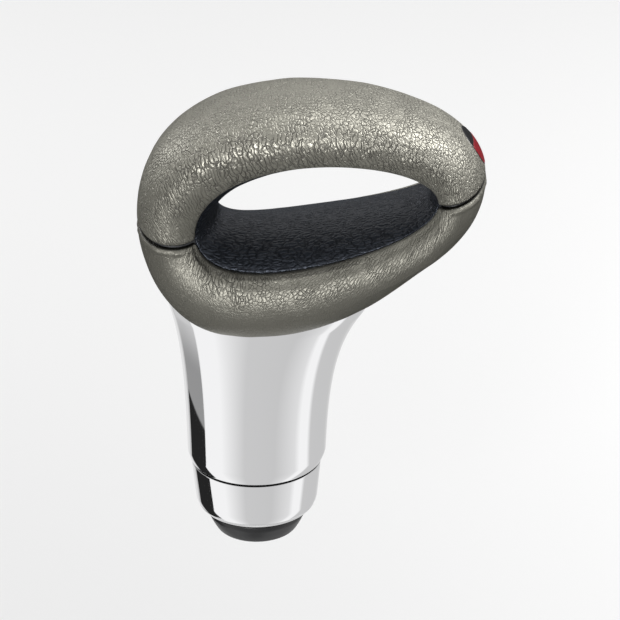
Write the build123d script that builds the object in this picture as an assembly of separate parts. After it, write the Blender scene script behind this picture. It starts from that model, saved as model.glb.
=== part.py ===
from build123d import *
import math
import os

os.makedirs("parts", exist_ok=True)

# Gear shift knob. Millimetres, +Z up, +X toward the badge end.
# The origin is the mouth of the lever socket, on the axis of the stem.

# Outside of the grip loop, an egg in the XZ plane
loop_length = 90.1
loop_rise_top = 32.1
loop_rise_bottom = 30.8
loop_tilt = 17.0
loop_lean = 8.7
loop_point = 0.04
loop_bend = 1.8
loop_centre_x = 14.6
loop_centre_z = 88.25

# Finger opening through the loop
opening_length = 54.5
opening_rise_top = 10.75
opening_rise_bottom = 4.8
opening_tilt = 9.8
opening_lean = 3.1
opening_point = 0.02
opening_bend = 0.0
opening_centre_x = 17.7
opening_centre_z = 89.0

# Depth of the loop front to back, at its top, badge end, full end and cradle
depth_top = 38.0
depth_badge_end = 32.0
depth_full_end = 38.0
depth_cradle = 50.0
section_power = 2.2

# Leather and the strips that line the opening
leather = 1.3
lining_share = 0.82
lining_gap = 0.15

# Seams where the arch meets the cradle
seam_gap = 0.5
full_seam_x = -19.8
full_seam_z = 81.6
full_seam_slope = 2.0
badge_seam_t = -6.0

# Dowels in the seams
dowel_d = 5.0
dowel_length = 12.0

# Round emblem on the shoulder of the badge end
badge_d = 12.0
badge_proud = 0.1
badge_field_depth = 0.5
badge_field_start = 1.6
badge_t = 8.5
badge_round = 12.0
badge_clear = 0.15
badge_reach = 11.0

# Stem, from its foot to the flare under the cradle
stem_foot_z = 13.9
stem_foot_r = 17.4
stem_foot_rise = 3.0
waist_r = 17.9
rim_z = 58.0
rim_swell = 7.2
swell_length = 14.0
rim_shift = 3.1
rim_half_depth = 20.2
cup_rise = 9.0
cup_ease = 5.0
spigot_r = 12.0
spigot_end_z = 3.5

# Lock collar, gap washer and boot ring
gap = 0.7
gap_washer_thick = 0.4
gap_inset = 2.0
collar_height = 14.6
collar_top_r = 17.3
collar_foot_r = 16.25
collar_nose_r = 13.3
collar_nose_height = 3.2
running_clear = 0.3
collar_lip = 1.6
lip_r = 10.8
ring_drop = 5.8
ring_top_r = 13.1
ring_foot_r = 10.7
ring_bore_r = 7.2
ring_flange = 1.5

# Lever socket, sleeve and its clamp screws
lever_r = 6.0
socket_length = 34.0
sleeve_r = 9.0
sleeve_crown = 3.0
slit = 1.2
screw_d = 4.0
screw_count = 3
screw_z = 9.2
screw_key = 2.0
screw_key_depth = 1.6
screw_sink = 0.3

# Screw that draws the cradle down on the stem
bolt_d = 8.0
bolt_head_d = 13.0
bolt_head_height = 8.0
bolt_head_gap = 1.0
bolt_length = 20.0
bolt_key = 6.0
bolt_clear = 0.3
washer_d = 16.0
washer_thick = 1.6
insert_d = 12.0
insert_length = 12.0
insert_z = 56.5

# Index pins either side of the bolt
pin_d = 4.0
pin_length = 12.0
pin_spacing = 24.0
pin_z = 51.0

X_DIR = Vector(1, 0, 0)
Y_DIR = Vector(0, 1, 0)


def egg(t, half_length, top, bottom, tilt, lean, point, bend, cx, cz):
    """Point of an egg outline in the XZ plane at the angle t."""
    c = math.cos(t)
    s = math.sin(t)
    x = half_length * c - lean * s * s
    z = ((top + bottom) / 2 + (top - bottom) / 2 * s) * s * (1 - point * c) - bend * c * c
    a = math.radians(tilt)
    return Vector(cx + x * math.cos(a) - z * math.sin(a), 0, cz + x * math.sin(a) + z * math.cos(a))


def outer_point(t):
    return egg(t, loop_length / 2, loop_rise_top, loop_rise_bottom, loop_tilt, loop_lean,
               loop_point, loop_bend, loop_centre_x, loop_centre_z)


def inner_point(t):
    return egg(t, opening_length / 2, opening_rise_top, opening_rise_bottom, opening_tilt, opening_lean,
               opening_point, opening_bend, opening_centre_x, opening_centre_z)


def half_depth(t):
    """Half of the front-to-back depth of the loop at the angle t."""
    mean = (depth_top + depth_badge_end + depth_full_end + depth_cradle) / 4
    ends = (depth_badge_end - depth_full_end) / 2 * math.cos(t)
    rise = (depth_top - depth_cradle) / 2 * math.sin(t)
    twice = (depth_badge_end + depth_full_end - depth_top - depth_cradle) / 4 * math.cos(2 * t)
    return (mean + ends + rise + twice) / 2


def station(t):
    """Centre, outward direction, half thickness and half depth of the section at the angle t."""
    o = outer_point(t)
    i = inner_point(t)
    half = (o - i) * 0.5
    return (o + i) * 0.5, half.normalized(), half.length, half_depth(t)


def rounded(c, power):
    return math.copysign(abs(c) ** (2 / power), c)


def oval(centre, along_r, along_y, half_r, half_y, power=2.0, spans=3):
    """Closed oval made of four quarters, fuller than an ellipse where the power is above 2."""
    axes = [(along_r, half_r), (along_y, half_y), (along_r * -1, half_r), (along_y * -1, half_y)]
    quarters = []
    for k in range(4):
        a, half_a = axes[k]
        b, half_b = axes[(k + 1) % 4]
        pts = [centre + a * half_a]
        for step in range(1, spans):
            f = math.pi / 2 * step / spans
            on_a = half_a * rounded(math.cos(f), power)
            on_b = half_b * rounded(math.sin(f), power)
            pts.append(centre + a * on_a + b * on_b)
        pts.append(centre + b * half_b)
        run = [0.0]
        for start, stop in zip(pts, pts[1:]):
            run.append(run[-1] + (stop - start).length)
        share = [length / run[-1] for length in run]
        ends = [b * run[-1], a * -run[-1]]
        quarters.append(Edge.make_spline(pts, tangents=ends, parameters=share, scale=False))
    return Wire(quarters)


def section(t, inset):
    """Closed section of the loop at the angle t, drawn in by the inset."""
    centre, out, p, q = station(t)
    return oval(centre, out, Y_DIR, p - inset, q - inset, section_power)


def strip(t, trim):
    """Slot of the lining at the angle t, open toward the finger opening."""
    centre, out, p, q = station(t)
    y = q * lining_share - trim
    corners = [(-p - 4, -y), (0, -y), (0, y), (-p - 4, y)]
    pts = [centre + out * r + Y_DIR * v for r, v in corners]
    return Wire.make_polygon(pts, close=True)


def along(start, stop, count):
    return [math.radians(start + (stop - start) * k / (count - 1)) for k in range(count)]


def body(angles, inset):
    return Solid.make_loft([section(t, inset) for t in angles])


def slot(angles, trim):
    return Solid.make_loft([strip(t, trim) for t in angles])


# Seam planes, each holding the front-to-back direction
full_slope = math.radians(full_seam_slope)
full_normal = Vector(-math.sin(full_slope), 0, math.cos(full_slope))
full_plane = Plane(origin=(full_seam_x, 0, full_seam_z), z_dir=full_normal)
badge_centre, badge_out = station(math.radians(badge_seam_t))[:2]
badge_plane = Plane(origin=badge_centre, z_dir=badge_out.cross(Y_DIR))
seam_planes = (full_plane, badge_plane)
trim_reach = 0.6 * loop_length


def trim(plane, offset, above):
    """Block that takes away one side of a seam."""
    lift = trim_reach / 2 - offset if above else offset - trim_reach / 2
    return plane * Pos(0, 0, lift) * Box(trim_reach, 2 * depth_cradle, trim_reach)


def trimmed(solid, offset, above):
    """A piece of the loop with both ends cut back to its seams."""
    for plane in seam_planes:
        solid = solid - trim(plane, offset, above)
    return solid


arch_angles = along(badge_seam_t - 14, 214, 14)
cradle_angles = along(158, 360 + badge_seam_t + 14, 13)

arch_full = body(arch_angles, 0)
arch_inside = body(arch_angles, leather)
cradle_full = body(cradle_angles, 0)
cradle_inside = body(cradle_angles, leather)
arch_slot = slot(arch_angles, 0)
cradle_slot = slot(cradle_angles, 0)

# Dowels across the seams
dowel_hole = [plane * Cylinder(dowel_d / 2, dowel_length) for plane in seam_planes]
arch_dowels = Compound(children=dowel_hole)

# Emblem, a disc that follows the shoulder of the arch
bt = math.radians(badge_t)
bc, bo, bp, bq = station(bt)
bf = math.radians(badge_round)
badge_r_at = bp * rounded(math.cos(bf), section_power)
badge_y_at = bq * rounded(math.sin(bf), section_power)
badge_point = bc + bo * badge_r_at + Y_DIR * badge_y_at
slope_r = abs(badge_r_at / bp) ** (section_power - 1) / bp
slope_y = abs(badge_y_at / bq) ** (section_power - 1) / bq
badge_normal = (bo * slope_r + Y_DIR * slope_y).normalized()
badge_up = (Vector(0, 0, 1) - badge_normal * badge_normal.Z).normalized()
badge_at = Plane(origin=badge_point, x_dir=badge_normal.cross(badge_up) * -1, z_dir=badge_normal)
badge_plug = badge_at * Cylinder(badge_d / 2, badge_reach)
badge_disc = badge_at * Cylinder(badge_d / 2 - badge_clear, badge_reach)
field_block = badge_at * Pos(0, -badge_d / 2 + badge_field_start, 0) * Box(2 * badge_d, badge_d, badge_d)
badge_blank = body(arch_angles, -badge_proud) & badge_disc
badge_whole = badge_blank - arch_inside
badge_field = (badge_blank - body(arch_angles, badge_field_depth)) & field_block
badge_base = badge_whole - badge_field

# Arch
arch_core = trimmed(arch_inside, 0, False)
for hole in dowel_hole:
    arch_core = arch_core - hole
arch_skin = arch_full - arch_inside
arch_leather = trimmed(arch_skin, seam_gap / 2, False) - arch_slot - badge_plug
arch_lining = trimmed(arch_skin, 0, False) & slot(arch_angles, lining_gap)

# Cradle
cradle_core = trimmed(cradle_inside, 0, True)
for hole in dowel_hole:
    cradle_core = cradle_core - hole
bore_top = socket_length + sleeve_crown + bolt_head_gap + bolt_head_height + washer_thick
head_z = socket_length + sleeve_crown + bolt_head_gap
shank_z = head_z + bolt_head_height
bolt_way = Pos(0, 0, shank_z + bolt_length / 2) * Cylinder(bolt_d / 2 + bolt_clear, bolt_length + 2)
insert_room = Pos(0, 0, insert_z + insert_length / 2) * Cylinder(insert_d / 2, insert_length)
pin = Pos(0, 0, pin_z + pin_length / 2) * Cylinder(pin_d / 2, pin_length)
pins = [Pos(side * pin_spacing / 2, 0, 0) * pin for side in (-1, 1)]
index_pins = Compound(children=pins)
cradle_core = cradle_core - insert_room - bolt_way - pins[0] - pins[1]
cradle_skin = cradle_full - cradle_inside
cradle_leather = trimmed(cradle_skin, seam_gap / 2, True) - cradle_slot - bolt_way - pins[0] - pins[1]
cradle_lining = trimmed(cradle_skin, 0, True) & slot(cradle_angles, lining_gap)
cradle_insert = insert_room - Pos(0, 0, insert_z) * Cylinder(bolt_d / 2, 3 * insert_length)

# Stem, a waist that swells sideways like a trumpet and ends as a cup round the cradle
waist_z = stem_foot_z + stem_foot_rise


def stem_level(z):
    """Level oval of the stem at a height: the swell grows up to the rim and eases off in the cup."""
    below = min(0.0, z - rim_z)
    above = max(0.0, z - rim_z)
    ease = cup_ease / swell_length * (1 - math.exp(-above / cup_ease))
    swell = math.exp(below / swell_length) + ease
    share = min(1.0, (z - waist_z) / (rim_z - waist_z))
    rx = waist_r + rim_swell * swell
    ry = waist_r + (rim_half_depth - waist_r) * share
    return oval(Vector(rim_shift * swell, 0, z), X_DIR, Y_DIR, rx, ry)


def foot_level(z, r):
    return oval(Vector(0, 0, z), X_DIR, Y_DIR, r, r)


level_count = 8
stem_levels = [foot_level(stem_foot_z, stem_foot_r)]
stem_levels += [stem_level(waist_z + (rim_z - waist_z) * k / level_count) for k in range(level_count + 1)]
stem_levels += [stem_level(rim_z + cup_rise / 2), stem_level(rim_z + cup_rise)]
spigot = Pos(0, 0, (spigot_end_z + stem_foot_z) / 2) * Cylinder(spigot_r, stem_foot_z - spigot_end_z)
stem = Solid.make_loft(stem_levels) - cradle_full
stem = stem + spigot
stem = stem - Pos(0, 0, bore_top / 2) * Cylinder(sleeve_r, bore_top)
stem = stem - bolt_way - pins[0] - pins[1]
grub = []
reach = spigot_r - screw_sink - sleeve_r
for k in range(screw_count):
    way = Pos(0, 0, screw_z) * Rot(0, 0, 90 + 360 / screw_count * k) * Rot(0, 90, 0)
    stem = stem - way * Pos(0, 0, spigot_r) * Cylinder(screw_d / 2, spigot_r)
    screw = way * Pos(0, 0, sleeve_r + reach / 2) * Cylinder(screw_d / 2, reach)
    socket = extrude(RegularPolygon(screw_key / 2, 6, major_radius=False), -screw_key_depth)
    grub.append(screw - way * Pos(0, 0, spigot_r - screw_sink) * socket)
grub_screws = Compound(children=grub)
stem = max(stem.solids(), key=lambda piece: piece.volume)

# Screw, washer and sleeve inside the stem
bolt_head = Pos(0, 0, head_z + bolt_head_height / 2) * Cylinder(bolt_head_d / 2, bolt_head_height)
bolt_shank = Pos(0, 0, shank_z + bolt_length / 2) * Cylinder(bolt_d / 2, bolt_length)
bolt_hexagon = RegularPolygon(bolt_key / 2, 6, major_radius=False)
bolt_socket = Pos(0, 0, head_z) * extrude(bolt_hexagon, bolt_head_height / 2)
stem_bolt = bolt_head + bolt_shank - bolt_socket
washer_ring = Cylinder(washer_d / 2, washer_thick) - Cylinder(bolt_d / 2 + bolt_clear, washer_thick)
stem_washer = Pos(0, 0, shank_z + washer_thick / 2) * washer_ring
sleeve_height = socket_length + sleeve_crown
lever_sleeve = Pos(0, 0, sleeve_height / 2) * Cylinder(sleeve_r, sleeve_height)
lever_sleeve = lever_sleeve - Pos(0, 0, socket_length / 2) * Cylinder(lever_r, socket_length)
lever_sleeve = lever_sleeve - Pos(sleeve_r, 0, socket_length / 2) * Box(2 * sleeve_r, slit, socket_length)

# Rubber washer that shows as the dark line under the stem
washer_z = stem_foot_z - gap_washer_thick
gap_washer = Pos(0, 0, washer_z + gap_washer_thick / 2) * Cylinder(stem_foot_r - gap_inset, gap_washer_thick)
gap_washer = gap_washer - Pos(0, 0, washer_z) * Cylinder(spigot_r, 4 * gap_washer_thick)


def turned(points):
    """Solid of revolution about the stem's axis from radius and height pairs."""
    outline = Plane.XZ * make_face(Polyline(*points, close=True))
    return revolve(outline, Axis.Z)


# Lock collar, hollow over the spigot, with a lip that carries the boot ring
collar_top = stem_foot_z - gap
collar_foot = collar_top - collar_height
collar_bore = spigot_r + running_clear
collar_outline = [
    (collar_bore, collar_top),
    (collar_top_r - 0.5, collar_top),
    (collar_top_r, collar_top - 0.5),
    (collar_foot_r, collar_foot + collar_nose_height),
    (collar_foot_r - 0.25 * (collar_foot_r - collar_nose_r), collar_foot + 0.45 * collar_nose_height),
    (collar_nose_r + 0.3, collar_foot + 0.08 * collar_nose_height),
    (collar_nose_r, collar_foot),
    (lip_r, collar_foot),
    (lip_r, collar_foot + collar_lip),
    (collar_bore, collar_foot + collar_lip),
]
lock_collar = turned(collar_outline)

# Boot ring, snapped through the collar's lip and free to turn in it
ring_top = collar_foot - running_clear
neck_r = lip_r - running_clear
flange_z = collar_foot + collar_lip + running_clear
ring_outline = [
    (ring_bore_r, ring_top - ring_drop),
    (ring_foot_r, ring_top - ring_drop),
    (ring_foot_r + 0.55 * (ring_top_r - ring_foot_r), ring_top - 0.62 * ring_drop),
    (ring_top_r, ring_top - 0.2 * ring_drop),
    (ring_top_r, ring_top),
    (neck_r, ring_top),
    (neck_r, flange_z),
    (collar_bore - 2 * running_clear, flange_z),
    (collar_bore - 2 * running_clear, flange_z + ring_flange),
    (sleeve_r + running_clear, flange_z + ring_flange),
    (sleeve_r + running_clear, -running_clear),
    (ring_bore_r, -running_clear),
]
boot_ring = turned(ring_outline)

pieces = {
    "arch_core": arch_core,
    "arch_leather": arch_leather,
    "arch_lining": arch_lining,
    "arch_dowels": arch_dowels,
    "badge_base": badge_base,
    "badge_field": badge_field,
    "cradle_core": cradle_core,
    "cradle_leather": cradle_leather,
    "cradle_lining": cradle_lining,
    "cradle_insert": cradle_insert,
    "stem": stem,
    "stem_bolt": stem_bolt,
    "stem_washer": stem_washer,
    "index_pins": index_pins,
    "lever_sleeve": lever_sleeve,
    "grub_screws": grub_screws,
    "gap_washer": gap_washer,
    "lock_collar": lock_collar,
    "boot_ring": boot_ring,
}
for name, piece in pieces.items():
    export_step(piece, f"parts/{name}.step")
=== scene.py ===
import math

import bpy
import numpy as np
from bpy.props import FloatProperty, FloatVectorProperty, PointerProperty
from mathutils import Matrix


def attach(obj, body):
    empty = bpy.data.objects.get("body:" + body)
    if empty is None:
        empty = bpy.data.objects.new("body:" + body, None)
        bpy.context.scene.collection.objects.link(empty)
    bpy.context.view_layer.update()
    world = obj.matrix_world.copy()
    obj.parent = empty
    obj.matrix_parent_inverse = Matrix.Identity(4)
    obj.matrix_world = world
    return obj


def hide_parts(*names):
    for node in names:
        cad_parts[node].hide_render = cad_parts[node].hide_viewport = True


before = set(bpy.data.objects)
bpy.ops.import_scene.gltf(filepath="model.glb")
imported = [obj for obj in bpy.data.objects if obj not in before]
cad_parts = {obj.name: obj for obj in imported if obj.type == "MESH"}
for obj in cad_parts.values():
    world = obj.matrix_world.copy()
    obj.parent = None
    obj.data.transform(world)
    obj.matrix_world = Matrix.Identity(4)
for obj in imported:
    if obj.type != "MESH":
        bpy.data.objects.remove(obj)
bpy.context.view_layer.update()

bl_info = {
    "name": "Gear Shift Knob",
    "version": (1, 0, 0),
    "blender": (4, 5, 0),
    "location": "3D View > Sidebar > Knob",
    "description": "Dresses the loop-handled gear shift knob in leather, chrome and enamel",
    "category": "Object",
}

MM = 0.001

# Loop outlines in millimetres: half length, rise above and below, tilt, lean, point, bend, centre x and z
OUTER = (45.05, 32.1, 30.8, 17.0, 8.7, 0.04, 1.8, 14.6, 88.25)
INNER = (27.25, 10.75, 4.8, 9.8, 3.1, 0.02, 0.0, 17.7, 89.0)

# Depth of the loop at its top, badge end, full end and cradle, and how full its section is
DEPTHS = (38.0, 32.0, 38.0, 50.0)
FULLNESS = 2.2

# Share of the depth that the lining covers, and the angle round the section where the hide ends
LINING_SHARE = 0.82
HIDE_END = math.pi - math.asin(LINING_SHARE ** (FULLNESS / 2))

# Seams: a slanted one at the full end that rises between front and back, a section at the badge end, the gap
FULL_SEAM = (-19.8, 81.6, math.radians(2.0))
SEAM_RISE = 2.2
BADGE_SEAM = math.radians(-6.0)
SEAM_GAP = 0.5

# Grid of a hide: lines along it, lines round it in view, lines under the lining
HIDE_ROWS, HIDE_SEEN, HIDE_UNDER = 360, 250, 12

# Hide in millimetres: corner radius at a seam, its pull and limit, roll beside the lining, depth under it
CORNER, CORNER_PULL, CORNER_LIMIT = 2.0, 2.0, 0.8
EDGE_ROLL = 1.0
UNDER_DEPTH = 1.6

# Soft folds: height and width in millimetres, and seed
HIDE_FOLDS = ((0.10, 9.0, 1), (0.05, 4.0, 2))
LINING_FOLDS = ((0.05, 6.0, 8), (0.03, 2.5, 9))
PUCKER = (0.6, 1.6, 6)

# Distances in millimetres over which folds, bead and the painted shade in a seam gap run in or out beside a
# seam or an edge
FOLDS_AT_SEAM, FOLDS_AT_EDGE, BEAD_AT_EDGE, SHADE_AT_SEAM = (0.2, 2.5), (0.2, 2.0), (0.8, 2.0), (0.1, 0.6)

# Bead: its even share, its distance from the seam and its spread
BEAD_EVEN, BEAD_AWAY, BEAD_SPREAD = 0.7, 1.3, 0.6

# Share by which a stretched hide is drawn in round the section
DRAWN_IN = 0.65

# Arch creases: angle round the section where the belt runs in, angles along the loop where it changes
BELT = (0.6, 1.35)
TOP_EASE, BELT_RISE, BELT_FALL, BELT_STRETCH = (2.1, 2.7), (0.4, 1.0), (1.9, 2.6), (0.3, 1.2)

# Cradle brow: angles along the loop, and how far from the lining its crest lies there
BROW_ANGLES = (2.95, 3.5, 4.19, 4.71, 5.2, 5.8, 6.15)
BROW_REACH = (3.0, 4.5, 8.5, 9.5, 7.5, 5.5, 5.0)

# Cradle angles along the loop: end of its left part, start and easing of its brow, ends of its band of
# painted shadow
LEFT_END, BROW_START, BROW_EASE = (3.9, 4.6), (2.85, 3.1), (5.4, 6.1)
SHADOW_BAND_START, SHADOW_BAND_END = (3.1, 3.4), (4.9, 5.5)

# Cradle at the lower badge end: how much slimmer in millimetres, at what angle and over what spread
SLIM = (1.1, 5.38, 0.28)

# Lining band: lines round the opening and the band, gap angle to the hides, edge roll, lowest edge, underside
LINING_ROWS, LINING_COLS, LINING_CLEAR = 520, 132, 0.006
LINING_ROLL, LINING_LOW, LINING_BACK = 0.8, 1.4, 1.5

# Emblem: angles along the loop and round the section, diameter, where its lower field starts
BADGE = (math.radians(8.5), math.radians(12.0))
BADGE_SIZE, FIELD_START = 11.7, 1.6

# Emblem shares of its radius: flat of its crown, its foot, its lower field
CROWN_FLAT, FOOT_SHARE, FIELD_SHARE = 0.94, 0.96, 0.93

# Emblem heights in millimetres: fall of its crown, its foot, then rise, fall and foot of its lower field
CROWN_FALL, FOOT_RISE, FIELD_RISE, FIELD_FALL, FIELD_FOOT = 0.6, -0.9, 0.07, 0.09, -0.2

# Stem: foot height and radius, waist height and radius, rim height, swell, shift and half depth, cup
FOOT_Z, FOOT_R = 13.9, 17.4
WAIST_Z, WAIST_R = 16.9, 17.9
RIM_Z, RIM_SWELL, SWELL_LENGTH, RIM_SHIFT, RIM_DEPTH = 58.0, 7.2, 14.0, 3.1, 20.2
CUP_RISE, CUP_EASE = 9.0, 5.0

# Plating: edge radius at the foot, wall, lines round the stem
PLATE_EDGE, PLATE_WALL, PLATE_LINES = 0.25, 0.5, 240

# Turned pieces: radius, height and rounding of each corner
COLLAR = ((12.3, 13.2, 0.3), (17.3, 13.2, 0.2), (16.25, 1.8, 1.2), (15.5, 0.1, 0.7), (13.5, -1.4, 0.25),
          (10.8, -1.4, 0.2), (10.8, 0.2, 0.2), (12.3, 0.2, 0.3))
BOOT_RING = ((7.2, -7.5, 0.3), (10.7, -7.5, 0.8), (12.0, -5.3, 1.0), (13.1, -2.9, 0.5), (13.1, -1.7, 0.2),
             (10.5, -1.7, 0.1), (10.5, 0.5, 0.1), (11.7, 0.5, 0.15), (11.7, 2.0, 0.3), (9.3, 2.0, 0.2),
             (9.3, -0.3, 0.2), (7.2, -0.3, 0.2))
GAP_WASHER = ((12.05, 13.5, 0.1), (15.4, 13.5, 0.1), (15.4, 13.9, 0.1), (12.05, 13.9, 0.1))

# Relief of the leathers in metres, and the sizes of pores, patches and clouds in the hide
CREASE_HEIGHT, PEBBLE_HEIGHT, PORE_HEIGHT, LINING_HEIGHT = 0.00012, 0.000025, 0.000018, 0.00013
PORE, PATCH, CLOUD = 0.0006, 0.004, 0.012

# Picture: height of the aim, and its shift right and down, in metres
AIM_HEIGHT, AIM_RIGHT, AIM_DOWN = 0.063, 0.01433, 0.00597

# Floor: half its width, tone, and the distances and strength of its lift toward the horizon
FLOOR_HALF, FLOOR_TONE = 1.6, 0.82
FLOOR_LIFT = (0.1, 1.3, 0.0, 0.74)

# Lamps: size in metres, turn and height in degrees; all stand as far from one point over the socket
LAMPS = {"key": ((0.3, 0.6), 110, 45), "top": ((0.3, 0.3), 150, 80), "front": ((0.3, 0.3), -11, 9),
         "left": ((0.3, 0.3), -120, 20)}
LAMP_AWAY, LAMP_CENTRE = 0.9, 0.08

# Light tent: radius and middle in metres, then its brightness at each turn in degrees, and the dome's
TENT_RADIUS, TENT_CENTRE = 1.3, 0.03
TENT_TURNS = (-180, -150, -140, -98, -92, -60, -20, 30, 66, 76, 92, 100, 150, 180)
TENT_LEVELS = (0.8, 0.8, 0.5, 0.5, 1.0, 1.0, 0.64, 0.62, 0.80, 1.0, 1.0, 0.62, 0.60, 0.8)
DOME_LEVEL = 0.56

# Flag in millimetres: radius, foot and head; height, turn and slope of its line; its three tones
FLAG_RADIUS, FLAG_FOOT, FLAG_HEAD = 65.0, -75.0, 45.0
FLAG_LINE = (-2.2, -89.6, 0.197)
FLAG_TONES = (0.02, 0.30, 0.33)

# Pieces and frame nodes that mirror the tent, and those that lamps leave out
MIRRORS = ("stem_plating", "collar_shell", "boot_ring_shell", "gap_washer_ring", "badge_upper", "badge_lower")
MIRROR_NODES = ("stem", "grub_screws")
PLATED = ("stem_plating", "collar_shell")
PLATED_NODES = ("stem",)


def linear(code):
    """Linear colour of an sRGB hex code such as 8A887E."""
    parts = [int(code[k:k + 2], 16) / 255 for k in (0, 2, 4)]
    return tuple(v / 12.92 if v <= 0.04045 else ((v + 0.055) / 1.055) ** 2.4 for v in parts)


def size_prop(name, text, millimetres):
    """A length, given in millimetres and kept in metres."""
    return FloatProperty(name=name, description=text, default=millimetres * MM, min=0.0,
                         subtype="DISTANCE", unit="LENGTH", precision=5)


def colour_prop(name, text, code):
    """A colour, given as a hex code and kept linear."""
    return FloatVectorProperty(name=name, description=text, default=linear(code), min=0.0, max=1.0,
                               subtype="COLOR", size=3)


def angle_prop(name, text, degrees):
    """An angle, given in degrees."""
    return FloatProperty(name=name, description=text, default=math.radians(degrees), subtype="ANGLE",
                         unit="ROTATION")


def power_prop(name, text, watts):
    """A lamp's power, given in watts."""
    return FloatProperty(name=name, description=text, default=watts, min=0.0, unit="POWER")


class KnobLeather(bpy.types.PropertyGroup):
    hide: colour_prop("Hide", "Colour of the pewter hide on the arch and cradle", "949288")
    # Painted shade: the hide is darkened down in its creases
    hide_crease_shade: colour_prop("Hide valleys", "Colour in the creases of the hide", "73716A")
    # Painted shade: dark in the seam gaps, and a painted shadow of the arch in a band beside the cradle's
    # lining
    hide_painted_shade: colour_prop("Hide edges", "Colour of the dyed edges that turn in at a seam", "16150F")
    lining: colour_prop("Lining", "Colour of the charcoal lining in the finger opening", "2C3036")
    # Painted shade: the lining is darkened down in its creases
    lining_crease_shade: colour_prop("Lining valleys", "Colour in the creases of the lining", "1C1E22")
    grain: size_prop("Grain", "Width of one pebble of the hide's grain", 0.7)
    crease: size_prop("Crease", "Width of one cell in the hide's net of creases", 1.0)
    lining_grain: size_prop("Lining grain", "Width of one pebble of the lining's grain", 1.2)
    seam_roll: size_prop("Seam roll", "Radius at which a hide turns in at a seam", 0.8)
    full_roll: size_prop("Full end roll", "Radius at which the arch turns in at the full end", 1.4)
    brow: size_prop("Brow", "Height of the soft edge along the cradle's front and back", 1.5)
    recess: size_prop("Recess", "Depth of the lining below the hide", 0.7)
    bead: size_prop("Bead", "Height of the puckered bead where the cradle's hide is drawn in at a seam", 0.3)


class KnobMetal(bpy.types.PropertyGroup):
    chrome: colour_prop("Chrome", "Colour of the plating on the stem and collar", "F2F2F3")
    polish: FloatProperty(name="Polish", description="Roughness of the plating", default=0.05, min=0.0,
                          max=1.0, subtype="FACTOR")
    plating: size_prop("Plating", "Height of the plating over the cast stem", 0.12)


class KnobBadge(bpy.types.PropertyGroup):
    upper: colour_prop("Upper field", "Colour of the emblem's upper enamel", "121214")
    lower: colour_prop("Lower field", "Colour of the emblem's lower enamel", "8C1420")
    proud: size_prop("Proud", "Height of the emblem over the hide", 0.1)


class KnobStage(bpy.types.PropertyGroup):
    azimuth: angle_prop("Azimuth", "Camera turned round the knob, from the front", 5.0)
    elevation: angle_prop("Elevation", "Camera raised over the level", 26.0)
    distance: FloatProperty(name="Distance", description="Camera to knob", default=0.7, min=0.1,
                            subtype="DISTANCE", unit="LENGTH")
    lens: FloatProperty(name="Lens", description="Focal length in millimetres", default=156.9, min=10.0)
    drop: size_prop("Floor drop", "Floor below the lever socket's mouth", 80.0)
    key: power_prop("Key lamp", "Power of the tall lamp at the right", 8.2)
    top: power_prop("Top lamp", "Power of the lamp overhead", 2.0)
    front: power_prop("Front lamp", "Power of the low lamp in front", 4.6)
    left: power_prop("Left lamp", "Power of the lamp at the left rear", 2.1)
    ambient: FloatProperty(name="Ambient", description="Strength of the room's light", default=0.02, min=0.0)


def spots(x, y, z):
    """Points from their coordinates."""
    return np.stack(np.broadcast_arrays(x, y, z), axis=-1)


def toward(turn, tall):
    """Direction from the knob, turned from the front and raised."""
    return spots(np.sin(turn) * np.cos(tall), -np.cos(turn) * np.cos(tall), np.sin(tall))


def egg(t, half, above, below, tilt, lean, point, bend, cx, cz):
    """Tilted egg outline at the angle t.

    Across it is half cos t less lean sin² t. Its rise thins toward the point and sags by bend cos² t.
    """
    c, s = np.cos(t), np.sin(t)
    x = half * c - lean * s * s
    z = ((above + below) / 2 + (above - below) / 2 * s) * s * (1 - point * c) - bend * c * c
    a = math.radians(tilt)
    return cx + x * math.cos(a) - z * math.sin(a), cz + x * math.sin(a) + z * math.cos(a)


def loop_skin(t, f, inset=0.0):
    """Skin of the loop at the angle t along it and f round its section.

    Each section runs from the inner egg to the outer one. Its point is the middle, plus the outward direction
    times half the thickness times cos f, plus the depth direction times half the depth times sin f, where
    cosine and sine are raised to 2 over the fullness. The inset shortens both halves.
    """
    outer_x, outer_z = egg(t, *OUTER)
    inner_x, inner_z = egg(t, *INNER)
    dx, dz = outer_x - inner_x, outer_z - inner_z
    width = np.hypot(dx, dz)
    top, badge, full, cradle = DEPTHS
    depth = (top + badge + full + cradle) / 4 + (badge - full) / 2 * np.cos(t)
    depth = depth + (top - cradle) / 2 * np.sin(t) + (badge + full - top - cradle) / 4 * np.cos(2 * t)
    c, s = np.cos(f), np.sin(f)
    c = np.sign(c) * np.abs(c) ** (2 / FULLNESS)
    s = np.sign(s) * np.abs(s) ** (2 / FULLNESS)
    r = (width / 2 - inset) * c
    x = (outer_x + inner_x) / 2 + dx / width * r
    z = (outer_z + inner_z) / 2 + dz / width * r
    return spots(x, (depth / 2 - inset) * s, z)


def full_seam(f, offset):
    """Angle along the loop where its skin meets the slanted seam raised by the offset, by Newton's steps.

    Between front and back the seam rises by its rise times 1 less the squared share of the half depth.
    """
    x0, z0, slope = FULL_SEAM

    def height(t):
        x, y, z = np.moveaxis(loop_skin(t, f), -1, 0)
        rise = SEAM_RISE * (1 - (2 * y / DEPTHS[2]) ** 2)
        return (z - z0) * math.cos(slope) - (x - x0) * math.sin(slope) - rise - offset

    t = np.full_like(f, math.radians(178.0))
    for _ in range(12):
        t = t - height(t) * 1e-4 / (height(t + 1e-4) - height(t))
    return t


def badge_seam(f, offset):
    """Angle along the loop that lies the offset beyond the section plane of the badge end's seam."""
    here = np.full_like(f, BADGE_SEAM)
    pace = np.linalg.norm(loop_skin(here + 1e-4, f) - loop_skin(here, f), axis=-1) / 1e-4
    return here + offset / pace


def full_turn(count):
    """Even angles right round."""
    return np.linspace(0, 2 * math.pi, count, endpoint=False)


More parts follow.
